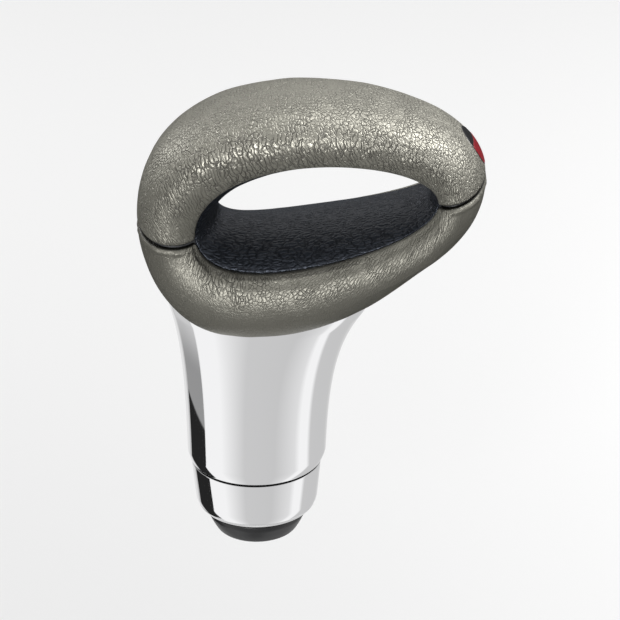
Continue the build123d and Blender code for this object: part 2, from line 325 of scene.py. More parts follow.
def run_lengths(points, axis):
    """Length walked along the grid in one direction, from its first line."""
    steps = np.linalg.norm(np.diff(points, axis=axis), axis=-1)
    start = np.zeros_like(np.take(steps, [0], axis=axis))
    return np.concatenate((start, np.cumsum(steps, axis=axis)), axis=axis)


def unit(vectors):
    """Vectors of length 1."""
    return vectors / np.linalg.norm(vectors, axis=-1, keepdims=True)


def rolled(gap, radius):
    """Quarter-round: how far an edge has turned in at this distance from its end."""
    short = np.clip(radius - gap, 0.0, radius)
    return radius - np.sqrt(np.maximum(radius * radius - short * short, 0.0))


def ramp(x, low, high):
    """Smooth step from 0 at low to 1 at high."""
    w = np.clip((x - low) / (high - low), 0.0, 1.0)
    return w * w * (3 - 2 * w)


def soft_noise(points, size, seed):
    """Smooth noise from -1 to 1: a repeatable value at each lattice point, blended by smooth steps."""
    q = points / size
    base = np.floor(q)
    w = q - base
    w = w * w * (3 - 2 * w)
    total = 0.0
    for corner in np.ndindex(2, 2, 2):
        at = base + corner
        wave = np.sin(at @ np.array((127.1, 311.7, 74.7)) + seed * 53.3) * 43758.5453
        share = np.prod(np.where(np.array(corner) == 1, w, 1 - w), axis=-1)
        total = total + share * (wave - np.floor(wave))
    return 2 * total - 1


def folds(points, waves):
    """Soft folds: a sum of smooth noises, each with its own height, width and seed."""
    return sum(height * soft_noise(points, width, seed) for height, width, seed in waves)


def outward(points):
    """Unit normals of a grid whose columns close on themselves, pointing away from each row's middle."""
    along = np.gradient(points, axis=0)
    around = np.roll(points, -1, axis=1) - np.roll(points, 1, axis=1)
    n = np.cross(around, along)
    n = n / np.maximum(np.linalg.norm(n, axis=-1, keepdims=True), 1e-9)
    away = np.sum(n * (points - points.mean(axis=1, keepdims=True)), axis=-1)
    return n if away.mean() > 0 else -n


def placed(name, data):
    """A new object in the scene."""
    thing = bpy.data.objects.new(name, data)
    bpy.context.scene.collection.objects.link(thing)
    return thing


def skin_piece(name, verts, quads, fans, body, material, nodes, attributes):
    """A closed piece on its body of the frame, from points in millimetres, squares and triangles."""
    verts = verts * MM
    tris = np.concatenate((quads[:, [0, 1, 2]], quads[:, [0, 2, 3]], fans))
    a, b, c = (verts[tris[:, k]] for k in range(3))
    if np.sum(a * np.cross(b, c)) < 0:
        quads, fans = quads[:, ::-1], fans[:, ::-1]
    corners = np.concatenate((quads.ravel(), fans.ravel())).astype(np.int32)
    totals = np.concatenate((np.full(len(quads), 4), np.full(len(fans), 3)))
    mesh = bpy.data.meshes.new(name)
    mesh.vertices.add(len(verts))
    mesh.vertices.foreach_set("co", verts.astype(np.float32).ravel())
    mesh.loops.add(len(corners))
    mesh.loops.foreach_set("vertex_index", corners)
    mesh.polygons.add(len(totals))
    mesh.polygons.foreach_set("loop_start", (np.cumsum(totals) - totals).astype(np.int32))
    mesh.polygons.foreach_set("use_smooth", np.ones(len(totals), dtype=bool))
    mesh.update(calc_edges=True)
    for key, values in attributes.items():
        mesh.attributes.new(key, "FLOAT_VECTOR", "POINT").data.foreach_set("vector", values.ravel())
    mesh.validate()
    mesh.materials.append(material)
    piece = placed(name, mesh)
    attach(piece, body)
    if nodes:
        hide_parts(*nodes)


def tube_piece(name, points, body, material, nodes, attributes):
    """A closed piece from a grid: columns close on themselves and each end is drawn to a pole."""
    rows, cols = points.shape[:2]
    verts = np.concatenate((points.reshape(-1, 3), [points[0].mean(axis=0), points[-1].mean(axis=0)]))
    index = np.arange(rows * cols).reshape(rows, cols)
    step = np.roll(index, -1, axis=1)
    quads = np.stack((index[:-1], step[:-1], step[1:], index[1:]), axis=-1).reshape(-1, 4)
    first = np.stack((np.full(cols, rows * cols), step[0], index[0]), axis=-1)
    last = np.stack((np.full(cols, rows * cols + 1), index[-1], step[-1]), axis=-1)
    flat = {key: values.reshape(rows * cols, 3) for key, values in attributes.items()}
    flat = {key: np.concatenate((v, v[:1], v[-1:])).astype(np.float32) for key, v in flat.items()}
    skin_piece(name, verts, quads, np.concatenate((first, last)), body, material, nodes, flat)


def ring_piece(name, points, body, material, nodes):
    """A closed ring from a grid that closes on itself both ways."""
    rows, cols = points.shape[:2]
    index = np.arange(rows * cols).reshape(rows, cols)
    step, over = np.roll(index, -1, axis=1), np.roll(index, -1, axis=0)
    quads = np.stack((index, step, np.roll(over, -1, axis=1), over), axis=-1).reshape(-1, 4)
    fans = np.zeros((0, 3), dtype=quads.dtype)
    skin_piece(name, points.reshape(-1, 3), quads, fans, body, material, nodes, {})


def round_hide():
    """Angles round a hide's section: close steps at its edges, few under the lining."""
    across = np.interp(np.linspace(0, 1, HIDE_SEEN), (0, 0.1, 0.9, 1), (0, 0.045, 0.955, 1))
    beneath = np.linspace(HIDE_END, 2 * math.pi - HIDE_END, HIDE_UNDER + 2)[1:-1]
    return np.concatenate((-HIDE_END + 2 * HIDE_END * across, beneath))


def along_hide(first, last, f):
    """Angles along and round a hide from seam to seam, with close steps at both."""
    s = np.interp(np.linspace(0, 1, HIDE_ROWS), (0, 0.045, 0.955, 1), (0, 0.016, 0.984, 1))[:, None]
    return first + (last - first) * s, np.broadcast_to(f, (HIDE_ROWS, len(f)))


def hide_piece(name, grid, rolls, bead, brow, band, crease, nodes):
    """A hide: the loop's skin, turned in at seams and at the lining, with a soft edge along it and folds.

    Its lay is the length walked along it from its middle and the length round it, drawn in where it is
    stretched, so that the creases of the grain fan out across it. Its relief is the depth of the creases and
    the share of painted shade: dark in the seam gaps, and the band of painted shadow that band gives.
    """
    t, f = grid
    base = loop_skin(t, f)
    walked = run_lengths(base, 0)
    to_end = walked[-1] - walked
    to_seam = np.minimum(walked, to_end)
    round_ = run_lengths(base, 1)
    edge = np.maximum(np.minimum(round_, round_[:, HIDE_SEEN - 1:HIDE_SEEN] - round_), 0.0)
    under = np.arange(f.shape[1])[None, :] >= HIDE_SEEN
    net, stretch = crease(t, f, edge)

    # Turned in at its edges, corners and seams, raised along its brow
    corner = np.hypot(np.clip(CORNER - to_seam, 0.0, CORNER), np.clip(CORNER - edge, 0.0, CORNER)) - CORNER
    inset = rolled(edge, EDGE_ROLL) + CORNER_PULL * np.clip(corner, 0.0, CORNER_LIMIT) - brow(t, edge)
    inset = np.where(under, UNDER_DEPTH, inset)
    inset = np.maximum(inset, rolled(walked, rolls[0])) + np.where(under, 0, rolled(to_end, rolls[1]))
    points = loop_skin(t, f, inset)

    # Soft folds, and a puckered bead beside the seams
    lift = folds(base, HIDE_FOLDS) * ramp(to_seam, *FOLDS_AT_SEAM) * ramp(edge, *FOLDS_AT_EDGE)
    pucker = BEAD_EVEN + folds(base, (PUCKER,))
    row = np.exp(-((to_seam - BEAD_AWAY) / BEAD_SPREAD) ** 2)
    lift = lift + bead * pucker * row * ramp(edge, *BEAD_AT_EDGE)
    points = points + outward(points) * np.where(under, 0.0, lift)[..., None]

    # Lay of the grain
    steps = np.diff(round_, axis=1) * (1 - DRAWN_IN * (stretch[:, 1:] + stretch[:, :-1]) / 2)
    around = np.concatenate((np.zeros_like(round_[:, :1]), np.cumsum(steps, axis=1)), axis=1)
    around = around - around[:, HIDE_SEEN // 2:HIDE_SEEN // 2 + 1]
    lay = np.stack((walked - walked[len(walked) // 2], around, 0.0 * walked), axis=-1)
    # Painted shade: dark in the seam gaps, plus the band of painted shadow
    painted_shade = np.maximum(1 - ramp(to_seam, *SHADE_AT_SEAM), band(t, edge))
    relief = np.stack((np.where(under, 0.0, net), painted_shade, 0.0 * net), axis=-1)
    leather = ready("Leather pewter pearl grained", grained_hide)
    tube_piece(name, points, "handle", leather, nodes, {"lay": lay * MM, "relief": relief})


def lining_band(recess):
    """The lining: a band right round the finger opening, its section a flat loop from edge to edge."""
    lap = full_turn(LINING_COLS)
    share = np.cos(lap)
    share = np.sign(share) * np.abs(share) ** 0.8
    half = math.pi - HIDE_END - LINING_CLEAR
    f = np.broadcast_to(math.pi + share * half, (LINING_ROWS, LINING_COLS))
    t = np.broadcast_to(full_turn(LINING_ROWS)[:, None], (LINING_ROWS, LINING_COLS))
    edge = (1 - np.abs(share)) * half * 20
    top = np.sin(lap) >= 0
    inset = np.where(top, np.minimum(recess + rolled(edge, LINING_ROLL), LINING_LOW), LINING_BACK)
    points = loop_skin(t, f, inset)
    lift = folds(points, LINING_FOLDS)
    points = points + outward(points) * np.where(top, lift, 0.0)[..., None]
    leather = ready("Leather charcoal embossed", grained_lining)
    ring_piece("lining_band", points, "handle", leather, ("arch_lining", "cradle_lining"))


def turned_profile(corners, steps=7):
    """Closed outline of radius and height pairs, each corner replaced by a parabola of its own reach."""
    at = np.array([c[:2] for c in corners])
    reach = np.array([c[2] for c in corners])[:, None]
    back = unit(np.roll(at, 1, axis=0) - at) * reach
    ahead = unit(np.roll(at, -1, axis=0) - at) * reach
    w = np.linspace(0, 1, steps)[None, :, None]
    path = at[:, None] + back[:, None] * (1 - w) ** 2 + ahead[:, None] * w ** 2
    return path.reshape(-1, 2)


def turned_piece(name, corners, body, material, nodes, around=192):
    """A ring turned about the stem's axis: radius and height of the outline at each angle."""
    outline = turned_profile(corners)
    turn = full_turn(around)[:, None]
    r, z = outline[:, 0], outline[:, 1]
    points = spots(r * np.cos(turn), r * np.sin(turn), z)
    ring_piece(name, points, body, material, nodes)


def fill(tree, sockets, values):
    """Sets each input to its value or links it."""
    for key, value in values.items():
        if isinstance(value, bpy.types.NodeSocket):
            tree.links.new(value, sockets[key])
        else:
            sockets[key].default_value = value


def add(tree, kind, inputs, **settings):
    """Adds one node, sets its properties and fills its inputs."""
    node = tree.nodes.new(kind)
    for key, value in settings.items():
        setattr(node, key, value)
    fill(tree, node.inputs, inputs)
    return node


def noise(tree, place, size, detail):
    """Outputs of a noise whose features have that size in metres."""
    return add(tree, "ShaderNodeTexNoise", {"Vector": place, "Scale": 1 / size, "Detail": detail}).outputs


def edges(tree, place, size, dimensions):
    """Distance to the edges of a net of cells of that size in metres."""
    return add(tree, "ShaderNodeTexVoronoi", {"Vector": place, "Scale": 1 / size}, feature="DISTANCE_TO_EDGE",
               voronoi_dimensions=dimensions).outputs["Distance"]


def span(tree, value, low, high, start=0.0, stop=1.0, kind="LINEAR"):
    """A value carried from one range to another."""
    inputs = {0: value, 1: low, 2: high, 3: start, 4: stop}
    return add(tree, "ShaderNodeMapRange", inputs, interpolation_type=kind).outputs[0]


def calc(tree, operation, *values):
    """One sum on two or three values."""
    return add(tree, "ShaderNodeMath", dict(enumerate(values)), operation=operation).outputs[0]


def blend(tree, share, first, second, kind="MIX"):
    """Two colours mixed by a share."""
    inputs = {0: share, 6: first, 7: second}
    return add(tree, "ShaderNodeMix", inputs, data_type="RGBA", blend_type=kind).outputs[2]


def bent(tree, vector, place, size, reach):
    """A vector pushed about by noise of that size, both in metres."""
    push = noise(tree, place, size, 2.0)["Color"]
    push = add(tree, "ShaderNodeVectorMath", {0: push, 1: (0.5, 0.5, 0.5)}, operation="SUBTRACT")
    push = add(tree, "ShaderNodeVectorMath", {0: push.outputs[0], 3: reach}, operation="SCALE")
    return add(tree, "ShaderNodeVectorMath", {0: vector, 1: push.outputs[0]}, operation="ADD").outputs[0]


def bumped(tree, height, distance, strength=1.0):
    """Normal bent by a height, whose unit is a distance in metres."""
    inputs = {"Height": height, "Strength": strength, "Distance": distance}
    return add(tree, "ShaderNodeBump", inputs).outputs[0]


def new_material(name):
    """A new material's tree, its shader's inputs and the object's own coordinates."""
    material = bpy.data.materials.new(name)
    material.use_nodes = True
    tree = material.node_tree
    place = add(tree, "ShaderNodeTexCoord", {}).outputs["Object"]
    return tree, tree.nodes["Principled BSDF"].inputs, place


def grained_hide(name):
    """Pewter pearl leather: pigment-finished with fine flakes, embossed and stretched over the core.

    The flakes give a metal-like glow that follows the light. The relief is in real heights: a net of sharp
    creases round pillowed cells, as deep as the piece's own attribute says, and finer pebbles and pores.
    """
    care = bpy.context.scene.knob_leather
    tree, shader, place = new_material(name)
    lay = add(tree, "ShaderNodeAttribute", {}, attribute_name="lay").outputs["Vector"]
    relief = add(tree, "ShaderNodeAttribute", {}, attribute_name="relief").outputs["Vector"]
    depth, painted_shade = add(tree, "ShaderNodeSeparateXYZ", {0: relief}).outputs[:2]
    lay = bent(tree, lay, place, 0.0022, 0.002)

    # Net of creases round pillowed cells, and finer pebbles inside them
    net = edges(tree, lay, care.crease, "2D")
    line = span(tree, net, 0.0, 0.16, kind="SMOOTHSTEP")
    pillow = span(tree, net, 0.0, 0.5, kind="SMOOTHSTEP")
    pebble = span(tree, edges(tree, lay, care.grain, "2D"), 0.0, 0.25, kind="SMOOTHSTEP")
    pore = noise(tree, place, PORE, 2.0)["Fac"]

    # How deep: by the attribute, broken up in patches
    patch = span(tree, noise(tree, place, PATCH, 2.0)["Fac"], 0.36, 0.62, 0.4, 1.0)
    deep = calc(tree, "MULTIPLY", patch, depth)
    high = calc(tree, "MULTIPLY", calc(tree, "MULTIPLY_ADD", pillow, 0.4, line), deep)
    high = calc(tree, "MULTIPLY", high, CREASE_HEIGHT)
    high = calc(tree, "MULTIPLY_ADD", pebble, PEBBLE_HEIGHT, high)
    high = calc(tree, "MULTIPLY_ADD", pore, PORE_HEIGHT, high)

    # Colour: faint clouds, a painted highlight that is lighter where the creases run deep, painted shade down
    # in the creases, at the seams and beside the lining
    tone = span(tree, noise(tree, place, CLOUD, 3.0)["Fac"], 0.3, 0.7, 0.94, 1.04)
    # Painted highlight: the colour is lighter where the relief attribute is deep, most on the arch's lower
    # front belt
    tone = calc(tree, "MULTIPLY", tone, span(tree, depth, 0.2, 1.8, 0.88, 1.27))
    # Painted shade: the crease colour down in the valleys of the net
    sunk = calc(tree, "MULTIPLY", calc(tree, "SUBTRACT", 1.0, line), deep)
    body = blend(tree, sunk, (*care.hide, 1.0), (*care.hide_crease_shade, 1.0))
    body = blend(tree, 1.0, body, tone, "MULTIPLY")
    # Painted shade in the seam gaps and painted shadow beside the cradle's lining
    body = blend(tree, painted_shade, body, (*care.hide_painted_shade, 1.0))
    gloss = span(tree, depth, 1.15, 1.6, 0.42, 0.37)
    gloss = span(tree, line, 0.0, 1.0, 0.5, gloss)
    fill(tree, shader, {"Base Color": body, "Roughness": gloss, "Metallic": 0.55,
                        "Normal": bumped(tree, high, 1.0)})


def grained_lining(name):
    """Charcoal leather: dyed through, embossed and drawn long, dark with a dull shine on its folds."""
    care = bpy.context.scene.knob_leather
    tree, shader, place = new_material(name)
    drawn = add(tree, "ShaderNodeVectorMath", {0: place, 1: (0.5, 1.0, 1.0)}, operation="MULTIPLY").outputs[0]
    net = edges(tree, bent(tree, drawn, place, 0.0025, 0.0018), care.lining_grain, "3D")
    net = span(tree, net, 0.0, 0.3, kind="SMOOTHSTEP")
    high = calc(tree, "MULTIPLY_ADD", noise(tree, place, 0.0005, 2.0)["Fac"], 0.3, net)
    # Painted shade: darker colour down in the creases of the lining
    body = blend(tree, net, (*care.lining_crease_shade, 1.0), (*care.lining, 1.0))
    fill(tree, shader, {"Base Color": body, "Roughness": 0.4, "Specular IOR Level": 0.8,
                        "Specular Tint": (*linear("D2DBEE"), 1.0),
                        "Normal": bumped(tree, high, LINING_HEIGHT)})


def plated_chrome(name):
    """Chrome plating on zinc: polished bright before plating, so it mirrors the room with a faint haze."""
    care = bpy.context.scene.knob_metal
    tree, shader, place = new_material(name)
    haze = noise(tree, place, 0.006, 4.0)["Fac"]
    gloss = span(tree, haze, 0.3, 0.7, 0.7 * care.polish, 1.3 * care.polish)
    fill(tree, shader, {"Base Color": (*care.chrome, 1.0), "Metallic": 1.0, "Roughness": gloss})


def moulded(name, code, rough, grit, depth):
    """Moulded plastic or rubber: a fine spark-eroded grain from the mould takes the edge off its shine."""
    tree, shader, place = new_material(name)
    grain = noise(tree, place, grit * MM, 3.0)["Fac"]
    fill(tree, shader, {"Base Color": (*linear(code), 1.0), "Normal": bumped(tree, grain, depth * MM),
                        "Roughness": span(tree, grain, 0.2, 0.8, rough * 0.9, rough * 1.1)})


def machined(name, code, rough):
    """Turned steel or brass: fine lines from the cutting tool, 0.2 mm apart, blur its reflections."""
    tree, shader, place = new_material(name)
    lines = add(tree, "ShaderNodeTexWave", {"Vector": place, "Scale": 1 / 0.0006, "Distortion": 1.0},
                bands_direction="Z").outputs["Fac"]
    fill(tree, shader, {"Base Color": (*linear(code), 1.0), "Metallic": 1.0, "Roughness": rough,
                        "Normal": bumped(tree, lines, 0.00002, 0.3)})


def enamel(name, colour):
    """Hard enamel, ground and fire-polished: deep even colour with tiny flow ripples and a soft gloss."""
    tree, shader, place = new_material(name)
    flow = noise(tree, place, 0.003, 1.0)["Fac"]
    fill(tree, shader, {"Base Color": (*colour, 1.0), "Roughness": 0.28,
                        "Normal": bumped(tree, flow, 0.00003, 0.4)})


def ready(name, maker, *facts):
    """The material of that name, made the first time it is wanted."""
    if name not in bpy.data.materials:
        maker(name, *facts)
    return bpy.data.materials[name]


def chrome_material():
    return ready("Chrome plated polished", plated_chrome)


def nylon_material():
    return ready("Nylon black moulded", moulded, "131315", 0.36, 0.3, 0.004)


class KNOB_OT_arch(bpy.types.Operator):
    """Wraps the arch in grained hide"""
    bl_idname = "knob.arch"
    bl_label = "Arch leather"

    def execute(self, context):
        care = context.scene.knob_leather

        def crease(t, f, edge):
            belt = ramp(np.abs(f), *BELT)
            top = 0.85 + 0.3 * (1 - ramp(t, *TOP_EASE))
            low = 1.4 + 0.4 * ramp(t, *BELT_RISE) - 0.75 * ramp(t, *BELT_FALL)
            net = top * (1 - belt) + low * belt
            return net * ramp(edge, 0.0, 1.0), belt * ramp(t, *BELT_STRETCH)

        def flat(t, edge):
            return 0.0 * edge

        rolls = (care.seam_roll / MM, care.full_roll / MM)
        f = round_hide()
        grid = along_hide(badge_seam(f, SEAM_GAP / 2), full_seam(f, SEAM_GAP / 2), f)
        hide_piece("arch_hide", grid, rolls, 0.0, flat, flat, crease, ("arch_leather",))
        return {"FINISHED"}


class KNOB_OT_cradle(bpy.types.Operator):
    """Wraps the cradle in grained hide with a brow beside the lining"""
    bl_idname = "knob.cradle"
    bl_label = "Cradle leather"

    def execute(self, context):
        care = context.scene.knob_leather

        def crease(t, f, edge):
            far = np.interp(t, BROW_ANGLES, BROW_REACH)
            near = ramp(edge, 0.3, 1.5) * (1 - ramp(edge, 0.8 * far, 1.4 * far))
            left = 1 - ramp(t, *LEFT_END)
            return 0.2 + (0.7 + 0.4 * left) * near, 0.7 * near * left

        def brow(t, edge):
            far = np.interp(t, BROW_ANGLES, BROW_REACH)
            crest = np.exp(-((edge - far) / np.where(edge < far, 0.36 * far, 3.0)) ** 2)
            hollow = np.exp(-((edge - 0.42 * far) / (0.26 * far)) ** 2)
            slimmer, middle, spread = SLIM
            slim = slimmer * np.exp(-((t - middle) / spread) ** 2) * ramp(edge, 8.0, 16.0)
            fade = ramp(t, *BROW_START) * (1 - 0.4 * ramp(t, *BROW_EASE))
            return care.brow / MM * (crest - 0.3 * hollow) * fade - slim

        # Painted shadow of the arch on the cradle's hide, in a band beside the lining
        def band(t, edge):
            return 0.6 * (1 - ramp(edge, 1.9, 2.9)) * ramp(t, *SHADOW_BAND_START) * (1 - ramp(t, *SHADOW_BAND_END))

        rolls = (care.seam_roll / MM, care.seam_roll / MM)
        f = round_hide()
        grid = along_hide(full_seam(f, -SEAM_GAP / 2), badge_seam(f, -SEAM_GAP / 2) + 2 * math.pi, f)
        hide_piece("cradle_hide", grid, rolls, care.bead / MM, brow, band, crease, ("cradle_leather",))
        return {"FINISHED"}


class KNOB_OT_lining(bpy.types.Operator):
    """Lines the finger opening with one band of charcoal leather"""
    bl_idname = "knob.lining"
    bl_label = "Lining"

    def execute(self, context):
        lining_band(context.scene.knob_leather.recess / MM)
        return {"FINISHED"}


class KNOB_OT_badge(bpy.types.Operator):
    """Sets the bare two-colour emblem on the shoulder of the badge end"""
    bl_idname = "knob.badge"
    bl_label = "Emblem"

    def execute(self, context):
        care = context.scene.knob_badge
        upper = ready("Enamel black", enamel, tuple(care.upper))
        lower = ready("Enamel deep red", enamel, tuple(care.lower))
        proud = care.proud / MM
        radius = BADGE_SIZE / 2

        # Base: a crown that follows the hide and rounds off at its edge, and a foot sunk in the hide
        bend = np.linspace(0.15, 1, 7) * math.pi / 2
        ring = np.concatenate((np.linspace(0.04, CROWN_FLAT, 16), CROWN_FLAT + 0.06 * np.sin(bend)))[:, None]
        fall = np.concatenate((np.zeros(16), 1 - np.cos(bend)))[:, None] * CROWN_FALL
        turn = full_turn(96)[None, :]
        across, up = ring * radius * np.cos(turn), ring * radius * np.sin(turn)
        crown = badge_skin(across, up, proud - fall)
        sunk = badge_skin(across[::-1] * FOOT_SHARE, up[::-1] * FOOT_SHARE, FOOT_RISE)
        base = np.concatenate((crown, sunk))
        tube_piece("badge_upper", base, "handle", upper, ("badge_base",), {})

        # Lower field: an outline of an arc and a chord, drawn in to a middle
        rim = FIELD_SHARE * radius
        start = math.asin(FIELD_START / rim)
        lap = full_turn(128)[None, :]
        turns = (math.pi - start, 2 * math.pi + start, 2 * math.pi + start)
        arc = np.interp(lap, (0, 1.5 * math.pi, 2 * math.pi), turns)
        chord = ramp(lap, 1.5 * math.pi, 2 * math.pi) * 2 - 1
        on_arc = lap < 1.5 * math.pi
        fx = np.where(on_arc, rim * np.cos(arc), -chord * rim * math.cos(start))
        fy = np.where(on_arc, rim * np.sin(arc), FIELD_START)
        share = np.linspace(0.03, 1, 18)[:, None]
        mid = -0.3 * radius
        rise = proud + FIELD_RISE - FIELD_FALL * ramp(share, 0.93, 1.0)
        face = badge_skin(fx * share, mid + (fy - mid) * share, rise)
        root = badge_skin(fx * share[::-1], mid + (fy - mid) * share[::-1], FIELD_FOOT)
        field = np.concatenate((face, root))
        tube_piece("badge_lower", field, "handle", lower, ("badge_field",), {})
        return {"FINISHED"}


def badge_skin(across, up, rise):
    """Points over the arch's shoulder: flat coordinates carried along the emblem's axis to the hide.

    Newton's steps find the angles t and f and the depth along the axis. The rise is along the normal.
    """
    t0, f0 = BADGE
    eps = 1e-4
    here = loop_skin(t0, f0)
    along = (loop_skin(t0 + eps, f0) - here) / eps
    around = (loop_skin(t0, f0 + eps) - here) / eps
    axis = unit(np.cross(around, along))
    middle = (loop_skin(t0, math.pi) + loop_skin(t0, 0.0)) / 2
    axis = axis if axis @ (here - middle) > 0 else -axis
    upright = unit(np.array((0.0, 0.0, 1.0)) - axis * axis[2])
    side = np.cross(upright, axis)
    flat = here + across[..., None] * side + up[..., None] * upright
    t = np.full(across.shape, t0)
    f = np.full(across.shape, f0)
    deep = np.zeros(across.shape)
    for _ in range(14):
        at = loop_skin(t, f)
        dt = (loop_skin(t + eps, f) - at) / eps
        df = (loop_skin(t, f + eps) - at) / eps
        turn = np.stack((dt, df, np.broadcast_to(axis, dt.shape)), axis=-1)
        miss = at - (flat - deep[..., None] * axis)
        step = np.linalg.solve(turn, -miss[..., None])[..., 0]
        t = t + np.clip(step[..., 0], -0.1, 0.1)
        f = f + np.clip(step[..., 1], -0.1, 0.1)
        deep = deep + step[..., 2]
    at = loop_skin(t, f)
    lift = unit(np.cross(loop_skin(t, f + eps) - at, loop_skin(t + eps, f) - at))
    lift = lift * np.sign(np.sum(lift * axis, axis=-1, keepdims=True))
    return at + lift * np.broadcast_to(rise, across.shape)[..., None]


def stem_outline(z):
    """Half widths and sideways shift of the stem at each height.

    The half width is the waist's plus a swell that grows by e for each swell length up to the rim, then eases
    off. The foot curves in as a parabola. The half depth grows evenly from waist to rim.
    """
    below, above = np.minimum(z - RIM_Z, 0.0), np.maximum(z - RIM_Z, 0.0)
    swell = np.exp(below / SWELL_LENGTH) + CUP_EASE / SWELL_LENGTH * (1 - np.exp(-above / CUP_EASE))
    share = np.clip((z - WAIST_Z) / (RIM_Z - WAIST_Z), 0.0, 1.0)
    tuck = np.clip((WAIST_Z - z) / (WAIST_Z - FOOT_Z), 0.0, 1.0) ** 2
    rx = WAIST_R + RIM_SWELL * swell
    ry = WAIST_R + (RIM_DEPTH - WAIST_R) * share
    return rx + (FOOT_R - rx) * tuck, ry + (FOOT_R - ry) * tuck, RIM_SHIFT * swell * (1 - tuck)


class KNOB_OT_stem(bpy.types.Operator):
    """Lays the polished plating over the cast stem"""
    bl_idname = "knob.stem"
    bl_label = "Stem plating"

    def execute(self, context):
        proud = context.scene.knob_metal.plating / MM
        foot = np.linspace(FOOT_Z + PLATE_EDGE, WAIST_Z, 24)[:-1]
        z = np.concatenate((foot, np.linspace(WAIST_Z, RIM_Z + CUP_RISE, 130)))
        rx, ry, shift = stem_outline(z)

        # Outside: rounded in at the foot; inside: the same lines a wall's thickness in
        bend = np.linspace(0, math.pi / 2, 7)[:-1]
        turn_in = PLATE_EDGE * (1 - np.sin(bend))
        outer = (np.concatenate((rx[0] - turn_in, rx)) + proud, np.concatenate((ry[0] - turn_in, ry)) + proud,
                 np.concatenate((np.full(6, shift[0]), shift)),
                 np.concatenate((z[0] - PLATE_EDGE * np.cos(bend), z)))
        walls = (PLATE_WALL, PLATE_WALL, 0.0, 0.0)
        rx, ry, shift, z = (np.concatenate((line, line[::-1] - wall)) for line, wall in zip(outer, walls))
        turn = full_turn(PLATE_LINES)[:, None]
        points = spots(shift + rx * np.cos(turn), ry * np.sin(turn), z)
        ring_piece("stem_plating", points, "handle", chrome_material(), ())
        return {"FINISHED"}


class KNOB_OT_collar(bpy.types.Operator):
    """Turns the lock collar, the boot ring under it and the rubber washer above it"""
    bl_idname = "knob.collar"
    bl_label = "Collar and rings"

    def execute(self, context):
        rubber = ready("Rubber black moulded", moulded, "0E0E0F", 0.6, 0.2, 0.01)
        nylon = nylon_material()
        turned_piece("collar_shell", COLLAR, "lock_collar", chrome_material(), ("lock_collar",))
        turned_piece("boot_ring_shell", BOOT_RING, "boot_ring", nylon, ("boot_ring",))
        turned_piece("gap_washer_ring", GAP_WASHER, "handle", rubber, ("gap_washer",))
        return {"FINISHED"}


class KNOB_OT_hardware(bpy.types.Operator):
    """Gives the cast, moulded and turned pieces of the frame their finishes"""
    bl_idname = "knob.hardware"
    bl_label = "Hardware finishes"

    def execute(self, context):
        steel = ready("Steel turned", machined, "9C9EA1", 0.32)
        brass = ready("Brass turned", machined, "C49A4E", 0.28)
        core = ready("ABS grey moulded", moulded, "4A4B4D", 0.5, 0.4, 0.01)
        finishes = {
            "arch_core": core, "cradle_core": core, "arch_dowels": steel, "cradle_insert": brass,
            "stem": chrome_material(), "stem_bolt": steel, "stem_washer": steel, "index_pins": steel,
            "grub_screws": steel, "lever_sleeve": nylon_material(),
        }
        for node, material in finishes.items():
            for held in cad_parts[node].material_slots:
                held.material = material
        return {"FINISHED"}


class KNOB_OT_stage(bpy.types.Operator):
    """Sets up the camera, the room, the floor, the light tent and the lamps"""
    bl_idname = "knob.stage"
    bl_label = "Studio"

    def execute(self, context):
        care = context.scene.knob_stage
        context.scene.view_settings.view_transform = "Standard"
        set_camera(context.scene, care)
        set_room(context.scene, care)
        lay_floor(care)
        mirrors = gathered("bright pieces", MIRRORS, MIRROR_NODES)
        light_tent(care.azimuth, mirrors)
        dark_flag(care.azimuth, mirrors)
        plated = gathered("plated pieces", PLATED, PLATED_NODES)
        for held in plated.collection_objects:
            held.light_linking.link_state = "EXCLUDE"
        for key, (size, turn, height) in LAMPS.items():
            hang_lamp(key + "_lamp", getattr(care, key), size, turn, height, plated)
        return {"FINISHED"}


def set_camera(scene, care):
    """Camera on a ball round its aim, looking in."""
    a, e = care.azimuth, care.elevation
    right, up = toward(a + math.pi / 2, 0.0), toward(a, e + math.pi / 2)
    aim = np.array((0.0, 0.0, AIM_HEIGHT)) + AIM_RIGHT * right - AIM_DOWN * up
    camera = placed("camera", bpy.data.cameras.new("camera"))
    camera.data.lens = care.lens
    camera.location = aim + care.distance * toward(a, e)
    camera.rotation_euler = (math.pi / 2 - e, 0.0, a)
    scene.camera = camera


def set_room(scene, care):
    """White to the camera and in mirrors and glass, and a faint light to all else."""
    world = bpy.data.worlds.new("studio")
    scene.world = world
    world.use_nodes = True
    tree = world.node_tree
    ray = add(tree, "ShaderNodeLightPath", {}).outputs
    seen = calc(tree, "MAXIMUM", ray["Is Camera Ray"], ray["Is Glossy Ray"])
    seen = calc(tree, "MAXIMUM", seen, ray["Is Transmission Ray"])
    strength = span(tree, seen, 0.0, 1.0, care.ambient, 1.0)
    fill(tree, tree.nodes["Background"].inputs, {"Color": (1.0, 1.0, 1.0, 1.0), "Strength": strength})


